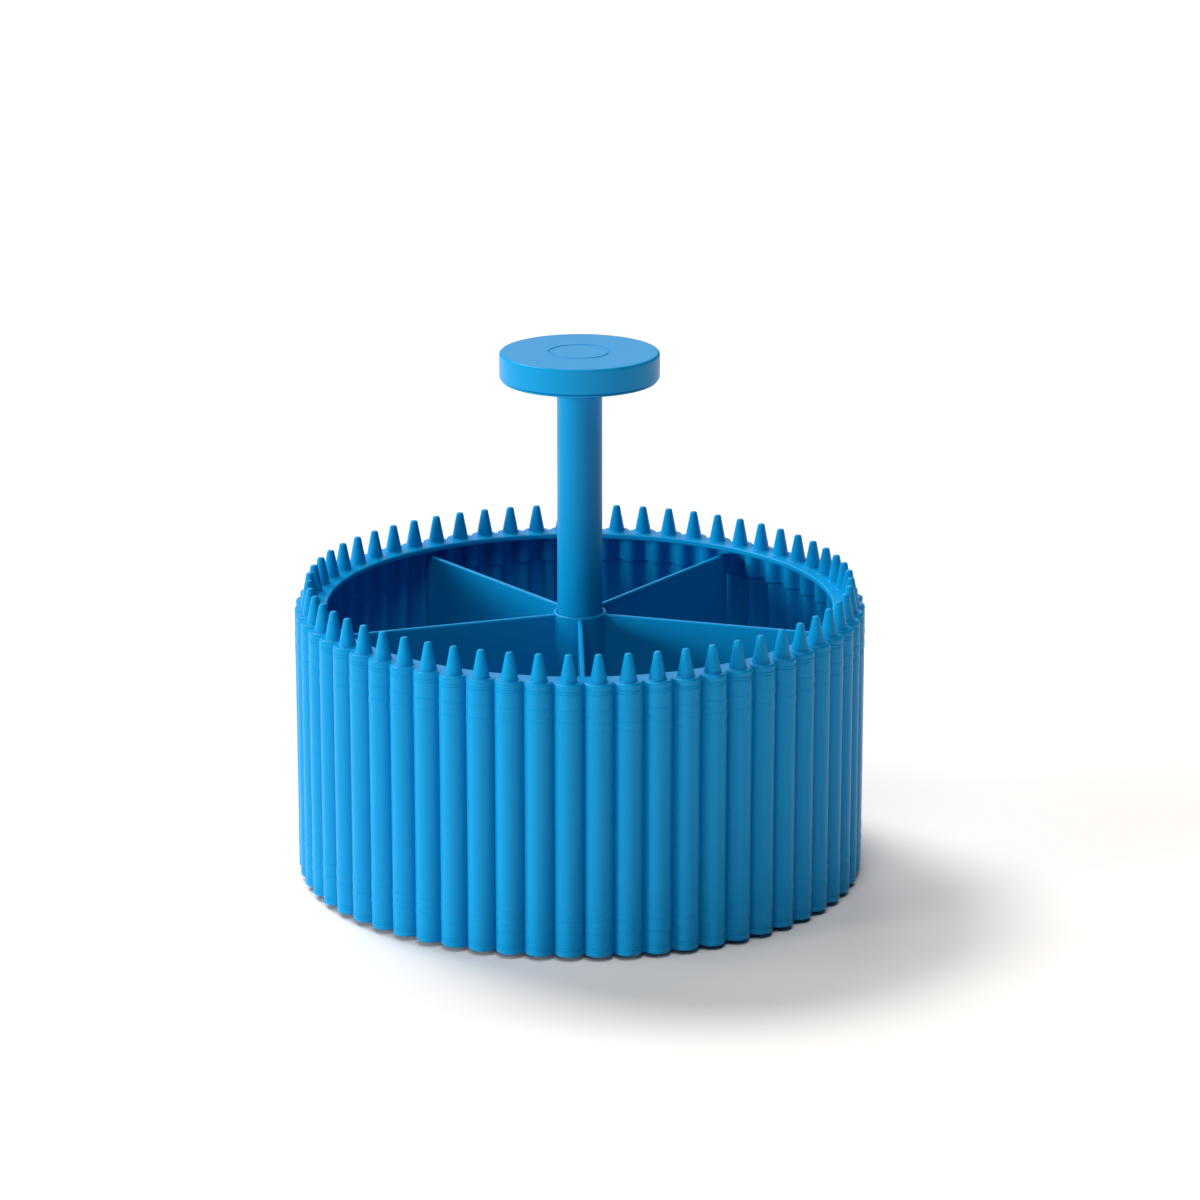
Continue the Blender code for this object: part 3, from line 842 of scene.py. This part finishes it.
@dataclass
class Bearing:
    """The tie rod with its nuts, and the washer and sleeve that the base turns on."""

    rod_radius: float = 2.5 * MM
    rod_bottom: float = 9.6 * MM
    rod_top: float = 222.0 * MM
    thread_length: float = 15.0 * MM
    thread_pitch: float = 0.8 * MM
    thread_depth: float = 0.4 * MM
    thread_rows: int = 6
    rod_chamfer: float = 0.6 * MM
    hole: float = 2.8 * MM
    sleeve: tuple[float, float, float] = (3.9 * MM, 17.9 * MM, 23.7 * MM)
    washer: tuple[float, float, float] = (6.0 * MM, 16.6 * MM, 17.6 * MM)
    nut_flats: float = 8.0 * MM
    lock_nut: tuple[float, float] = (11.3 * MM, 16.3 * MM)
    knob_nut: tuple[float, float] = (219.0 * MM, 221.7 * MM)
    collar_radius: float = 3.65 * MM
    collar_height: float = 1.4 * MM

    def rod_grid(self) -> np.ndarray:
        """Turns the rod, threaded at both ends.

        A thread is a radius that falls by depth * w, where w is a triangle wave of
        (height / pitch - turn), cut flat at its ends, so that its ridge climbs a pitch in a turn.

        Returns:
            A (u, v, 3) grid that starts and ends on the axis.
        """
        chamfer = self.rod_chamfer
        count = round(self.thread_length / self.thread_pitch) * self.thread_rows + 1
        low = self.rod_bottom + chamfer + np.linspace(0.0, self.thread_length, count)
        high = self.rod_top - chamfer - np.linspace(self.thread_length, 0.0, count)
        up = np.concatenate([[self.rod_bottom] * 2, low, high, [self.rod_top] * 2])
        core = self.rod_radius - self.thread_depth - 0.1 * MM
        across = np.concatenate([[0.0, core], np.full(2 * count, self.rod_radius), [core, 0.0]])
        run_out = np.linspace(0.0, 1.0, count) < 0.97
        depth = np.concatenate([[0.0, 0.0], run_out, run_out[::-1], [0.0, 0.0]]) * self.thread_depth
        u = turns(24)
        phase = (up[None, :] / self.thread_pitch - u / FULL_TURN) % 1.0
        wave = np.clip(1.3 * np.abs(2.0 * phase - 1.0) - 0.15, 0.0, 1.0)
        return swept(across[None, :] - depth[None, :] * wave, u, up[None, :])

    def nut_grid(self, bottom: float, top: float, collar: float) -> np.ndarray:
        """Carries a nut's section round a hexagon whose corners are cut back by cones.

        The hexagon's radius at a turn u is (half its flats) / cos(angle from the nearest flat).
        A point's radius is that, or the cone's radius at its height where it is smaller.

        Args:
            bottom: height of the nut's lower face.
            top: height of its upper face.
            collar: height of the round collar at its lower end.

        Returns:
            A (u, v, 3) grid whose section is closed.
        """
        flat = self.nut_flats / 2
        cone = np.array([[-0.3, 0.0], [0.05, 0.14], [0.35, 0.3], [0.7, 0.5]]) * MM + [flat, 0.0]
        bore = self.rod_radius + 0.05 * MM
        lead = [[bore, 0.5 * MM], [bore + 0.45 * MM, 0.0]]
        low = np.concatenate([[[self.collar_radius - 0.3 * MM, -collar],
                               [self.collar_radius, 0.3 * MM - collar],
                               [self.collar_radius, 0.0]], cone]) if collar else cone
        inside = np.array([[0.0, bottom - collar], [0.0, bottom - collar]]) + lead
        line = np.concatenate([inside, low + [0.0, bottom], [[1.0, -1.0]] * cone[::-1] + [0.0, top],
                               [[1.0, -1.0]] * np.array(lead)[::-1] + [0.0, top]])
        u = turns(48)
        sixth = FULL_TURN / 6
        hexagon = flat / np.cos((u + sixth / 2) % sixth - sixth / 2)
        return swept(np.minimum(line[None, :, 0], hexagon), u, line[None, :, 1])

    def build_ring(self, name: str, node: str, sizes: tuple[float, float, float],
                   finish: Finish) -> None:
        """Makes a softened ring round the rod.

        Args:
            name: the piece's name.
            node: the frame's node that it stands for.
            sizes: outer radius, bottom and top.
            finish: its finish.
        """
        radius, bottom, top = sizes
        line = rounded([(self.hole, bottom, 0.15 * MM), (radius, bottom, 0.2 * MM),
                        (radius, top, 0.2 * MM), (self.hole, top, 0.15 * MM)], steps=3, closed=True)
        fit(whole_piece(name, [around(line, 64)], wrap_v=True), Body.DRUM, node, finish)

    def build_nut(self, name: str, node: str, place: tuple[float, float], collar: float) -> None:
        """Makes a nut between two heights, with a round collar below if it has a height."""
        grid = self.nut_grid(place[0] + collar, place[1], collar)
        fit(whole_piece(name, [grid], wrap_v=True, sharp_angle=25.0), Body.DRUM, node, ZINC_STEEL)

    def build(self) -> None:
        """Makes rod, nuts, washer and sleeve."""
        rod = whole_piece("tie_rod_threaded", [self.rod_grid()], sharp_angle=40.0)
        fit(rod, Body.DRUM, "tie_rod", ZINC_STEEL)
        self.build_nut("knob_nut_hexagon", "knob_nut", self.knob_nut, 0.0)
        self.build_nut("lock_nut_hexagon", "lock_nut", self.lock_nut, self.collar_height)
        self.build_ring("thrust_washer_turned", "thrust_washer", self.washer, ZINC_STEEL)
        self.build_ring("pivot_sleeve_moulding", "pivot_sleeve", self.sleeve, WHITE_ACETAL)


# ---- turntable


def holed_sector(inner: float, outer: float, hole: float, count: int, arc_steps: int,
                 side_steps: int) -> np.ndarray:
    """Lists points round one sector of a ring, clockwise from above, centred on +X.

    The outline goes in along the outer arc, the first side, the inner arc and the other side,
    so that sectors laid side by side share their points.

    Args:
        inner: the ring's inner radius.
        outer: its outer radius.
        hole: distance of the sector's hole from the axis.
        count: number of sectors in the ring.
        arc_steps: steps along each arc.
        side_steps: steps along each side.

    Returns:
        A (points, 2) array of complex numbers: the outline, and the direction of each of its
        points seen from the hole's centre.
    """
    half = math.pi / count
    arc = np.linspace(half, -half, arc_steps + 1)[:-1]
    side = np.linspace(outer, inner, side_steps + 1)[:-1]
    back = np.linspace(inner, outer, side_steps + 1)[:-1]
    outline = np.concatenate([outer * np.exp(1j * arc), side * np.exp(-1j * half),
                              inner * np.exp(-1j * arc), back * np.exp(1j * half)])
    away = outline - hole
    return np.stack([outline, away / np.abs(away)], axis=1)


@dataclass
class Turntable:
    """The fixed base disc on its rubber feet, and the caged balls that carry the drum."""

    radius: float = 84.0 * MM
    bottom: float = 1.2 * MM
    top: float = 4.2 * MM
    segments: int = 144
    foot_count: int = 6
    foot_circle: float = 73.0 * MM
    foot_radius: float = 6.5 * MM
    foot_height: float = 2.2 * MM
    gap: float = 0.3 * MM
    sector_inner: float = 64.5 * MM
    sector_outer: float = 81.5 * MM
    spindle_radius: float = 9.3 * MM
    spindle_top: float = 22.2 * MM
    spindle_wall: float = 4.0 * MM
    spindle_bore: float = 7.2 * MM
    sleeve_hole: float = 4.2 * MM
    panel: tuple[float, float, float] = (20.0 * MM, 58.0 * MM, 0.5 * MM)
    track_edge: float = 4.0 * MM
    cage_width: float = 11.0 * MM
    cage_thickness: float = 1.8 * MM
    cage_edge: float = 0.3 * MM

    def base_line(self) -> np.ndarray:
        """Lists the base disc's section from the feet's ring outwards, over the top and back under.

        Returns:
            (n, 2) points.
        """
        near, far, sunk = self.panel
        ceiling = self.spindle_top - self.spindle_wall
        outer = rounded([
            (self.sector_outer, self.bottom, SHARP),
            (self.radius, self.bottom, 0.9 * MM),
            (self.radius, self.top, 0.9 * MM),
            (RACE.circle + self.track_edge, self.top, SHARP),
        ])
        inner = rounded([
            (RACE.circle - self.track_edge, self.top, SHARP),
            (self.spindle_radius, self.top, 1.2 * MM),
            (self.spindle_radius, self.spindle_top, 0.6 * MM),
            (self.sleeve_hole, self.spindle_top, 0.3 * MM),
            (self.sleeve_hole, ceiling, 0.3 * MM),
            (self.spindle_bore, ceiling, 0.5 * MM),
            (self.spindle_bore, self.bottom, 0.5 * MM),
            (near, self.bottom, 0.25 * MM),
            (near + sunk, self.bottom + sunk, 0.25 * MM),
            (far - sunk, self.bottom + sunk, 0.25 * MM),
            (far, self.bottom, 0.25 * MM),
            (self.sector_inner, self.bottom, SHARP),
        ])
        return np.concatenate([outer, RACE.track(self.top, -1.0), inner])

    def recess_grid(self) -> np.ndarray:
        """Leads from one sector's outline to the edge of its foot's recess, then up into it.

        Returns:
            A (u, v, 3) grid that ends at the middle of the recess, centred on +X.
        """
        steps = self.segments // self.foot_count
        outline, away = holed_sector(self.sector_inner, self.sector_outer, self.foot_circle,
                                     self.foot_count, steps, 8).T[:, :, None]
        reach = self.foot_radius + self.gap
        ceiling = self.foot_height + self.gap
        soft = 0.2 * MM
        across = np.array([reach + 2 * soft, reach + soft, reach, reach, reach - soft, 0.0])
        up = np.array([self.bottom] * 3 + [self.bottom + soft, ceiling - soft, ceiling, ceiling])
        edge = self.foot_circle + away * across[None, :]
        return lifted(np.concatenate([outline, edge], axis=1), up)

    def cage_grid(self) -> np.ndarray:
        """Leads from one sector's lower outline through its ball's hole to its upper outline.

        Returns:
            A (u, v, 3) grid, centred on +X.
        """
        inner = RACE.circle - self.cage_width / 2 + self.cage_edge
        outer = RACE.circle + self.cage_width / 2 - self.cage_edge
        outline, away = holed_sector(inner, outer, RACE.circle, RACE.count,
                                     self.segments // RACE.count, 6).T[:, :, None]
        reach = RACE.track_radius + self.gap
        soft = 0.25 * MM
        low = RACE.level - self.cage_thickness / 2
        high = RACE.level + self.cage_thickness / 2
        lead = np.array([reach + 2 * soft, reach + soft, reach])
        across = np.concatenate([lead, lead[::-1]])
        up = np.array([low, low, low, low + soft, high - soft, high, high, high])
        hole = RACE.circle + away * across[None, :]
        return lifted(np.concatenate([outline, hole, outline], axis=1), up)

    def build_base(self) -> None:
        """Makes the base disc: the turned section, and a recessed sector for each foot."""
        recesses = spread(self.recess_grid(), self.foot_count, math.pi / self.foot_count)
        disc = around(self.base_line(), self.segments)
        base = whole_piece("base_disc_moulding", [disc, *recesses])
        fit(base, Body.BASE, "base_disc", GREY_SATIN)

    def build_feet(self) -> None:
        """Makes the feet: rounded buttons with a shallow dish in the sole."""
        dish = 0.35 * MM
        line = rounded([
            (0.0, dish, SHARP),
            (self.foot_radius - 3.0 * MM, dish, 0.5 * MM),
            (self.foot_radius - 2.2 * MM, 0.0, 0.5 * MM),
            (self.foot_radius, 0.0, 0.7 * MM),
            (self.foot_radius, self.foot_height, 0.3 * MM),
            (0.0, self.foot_height, SHARP),
        ])
        grid = around(line, 48)
        grid[..., 0] += self.foot_circle
        feet = spread(grid, self.foot_count, math.pi / self.foot_count)
        for number, foot in enumerate(feet, start=1):
            button = whole_piece(f"foot_{number}_rubber", [foot])
            fit(button, Body.BASE, f"foot_{number}", BLACK_RUBBER)

    def build_cage(self) -> None:
        """Makes the cage: holed sectors between an outer and an inner edge."""
        edge = self.cage_edge
        low = RACE.level - self.cage_thickness / 2
        high = RACE.level + self.cage_thickness / 2
        rims = []
        for side in (1, -1):
            rim = RACE.circle + side * self.cage_width / 2
            line = np.array([[rim - side * edge, low], [rim, low + edge], [rim, high - edge],
                             [rim - side * edge, high]])
            rims.append(around(line[::side], self.segments))
        sectors = spread(self.cage_grid(), RACE.count, 0.0)
        cage = whole_piece("ball_cage_moulding", [*rims, *sectors])
        fit(cage, Body.CAGE, "ball_cage", WHITE_ACETAL)

    def build_balls(self) -> None:
        """Makes the balls: half circles turned about their own upright axes."""
        turn = np.linspace(-QUARTER_TURN, QUARTER_TURN, 17)
        line = np.stack([RACE.ball_radius * np.cos(turn),
                         RACE.level + RACE.ball_radius * np.sin(turn)], axis=1)
        line[[0, -1], 0] = 0.0
        grid = around(line, 32)
        grid[..., 0] += RACE.circle
        for number, points in enumerate(spread(grid, RACE.count, 0.0), start=1):
            ball = whole_piece(f"ball_{number:02d}_steel", [points])
            fit(ball, Body.CAGE, f"ball_{number:02d}", ZINC_STEEL)

    def build(self) -> None:
        """Makes base, feet, cage and balls."""
        self.build_base()
        self.build_feet()
        self.build_cage()
        self.build_balls()


# ---- studio


@dataclass(frozen=True)
class Lamp:
    """A far, soft lamp, as even over the floor as a large softbox.

    Its azimuth is the side it stands on, anticlockwise from +X, and its spread is how wide it
    looks from the organiser. All angles are in degrees. A lamp without a glint fills shadows
    but isn't mirrored in the plastic, as light bounced off a large card isn't.
    """

    name: str
    azimuth: float
    elevation: float
    strength: float
    tint: tuple[float, float, float] = (1.0, 1.0, 1.0)
    glint: bool = False
    spread: float = 22.0

    def hang(self) -> None:
        """Adds the lamp, turned so that its light comes from its azimuth and elevation."""
        data = bpy.data.lights.new(self.name, "SUN")
        data.energy = self.strength
        data.color = self.tint
        data.angle = math.radians(self.spread)
        lamp = bpy.data.objects.new(self.name, data)
        lamp.visible_glossy = self.glint
        tilt, turn = 90.0 - self.elevation, self.azimuth + 90.0
        lamp.rotation_euler = (math.radians(tilt), 0.0, math.radians(turn))
        bpy.context.scene.collection.objects.link(lamp)


WARM = (1.0, 1.0, 0.945)
COOL = (0.94, 0.97, 1.0)
LAMPS = (
    Lamp("key_behind_left", 130.0, 50.0, 2.15, glint=True),
    Lamp("low_left", 205.0, 10.0, 2.0, WARM),
    Lamp("low_side", 180.0, 10.0, 1.4, WARM),
    Lamp("rim_behind", 100.0, 50.0, 0.7),
    Lamp("low_behind", 90.0, 16.0, 0.1, glint=True),
    Lamp("overhead_fill", 280.0, 72.0, 0.72, glint=True),
    Lamp("front_fill", 250.0, 50.0, 0.43, COOL, glint=True),
    Lamp("behind_right", 60.0, 50.0, 0.27, COOL),
)


@dataclass
class Studio:
    """A white sweep, soft lamps and the camera."""

    floor_size: float = 40.0
    floor_roughness: float = 0.9
    floor_white: tuple[float, float, float] = (0.915, 0.878, 0.845)
    lens: float = 134.47
    sensor: float = 36.0
    camera_place: tuple[float, float, float] = (-0.0231, -1.8157, 0.6498)
    camera_pitch: float = 73.665
    camera_turn: float = -0.997
    sky: float = 0.01

    def build_floor(self) -> None:
        """Lays the floor, a warm white that evens out the blue light thrown by the drum."""
        half = self.floor_size / 2
        mesh = bpy.data.meshes.new("studio_floor")
        spots = [(-half, -half, 0), (half, -half, 0), (half, half, 0), (-half, half, 0)]
        mesh.from_pydata(spots, [], [(0, 1, 2, 3)])
        floor = bpy.data.objects.new("studio_floor", mesh)
        bpy.context.scene.collection.objects.link(floor)
        material = bpy.data.materials.new("studio_white")
        material.use_nodes = True
        shader = material.node_tree.nodes["Principled BSDF"]
        shader.inputs["Base Color"].default_value = (*self.floor_white, 1.0)
        shader.inputs["Roughness"].default_value = self.floor_roughness
        shader.inputs["Specular IOR Level"].default_value = 0.0
        mesh.materials.append(material)

    def build_room(self) -> None:
        """Sets the faint even light of the room."""
        world = bpy.data.worlds.new("studio_room")
        world.use_nodes = True
        back = world.node_tree.nodes["Background"]
        back.inputs["Color"].default_value = (1.0, 1.0, 1.0, 1.0)
        back.inputs["Strength"].default_value = self.sky
        bpy.context.scene.world = world

    def build_camera(self) -> None:
        """Places the camera a little above the rim, looking slightly down."""
        data = bpy.data.cameras.new("studio_camera")
        data.lens = self.lens
        data.sensor_width = self.sensor
        camera = bpy.data.objects.new("studio_camera", data)
        camera.location = self.camera_place
        pitch, turn = math.radians(self.camera_pitch), math.radians(self.camera_turn)
        camera.rotation_euler = (pitch, 0.0, turn)
        bpy.context.scene.collection.objects.link(camera)
        bpy.context.scene.camera = camera

    def build(self) -> None:
        """Sets floor, lamps, room light and camera, and plain display of colours."""
        self.build_floor()
        for lamp in LAMPS:
            lamp.hang()
        self.build_room()
        self.build_camera()
        bpy.context.scene.view_settings.view_transform = "Standard"


# ---- making


def corners(box: tuple) -> list[list[float]]:
    """Turns a pair of corners into plain lists."""
    return [[float(value) for value in corner] for corner in box]


def main() -> None:
    """Builds the organiser and its studio."""
    logging.basicConfig(level=logging.INFO, format="%(name)s: %(message)s")
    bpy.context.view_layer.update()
    CrayonRing().build()
    DividerTray().build()
    Grip().build()
    Bearing().build()
    Turntable().build()
    Studio().build()


if __name__ == "__main__":
    main()
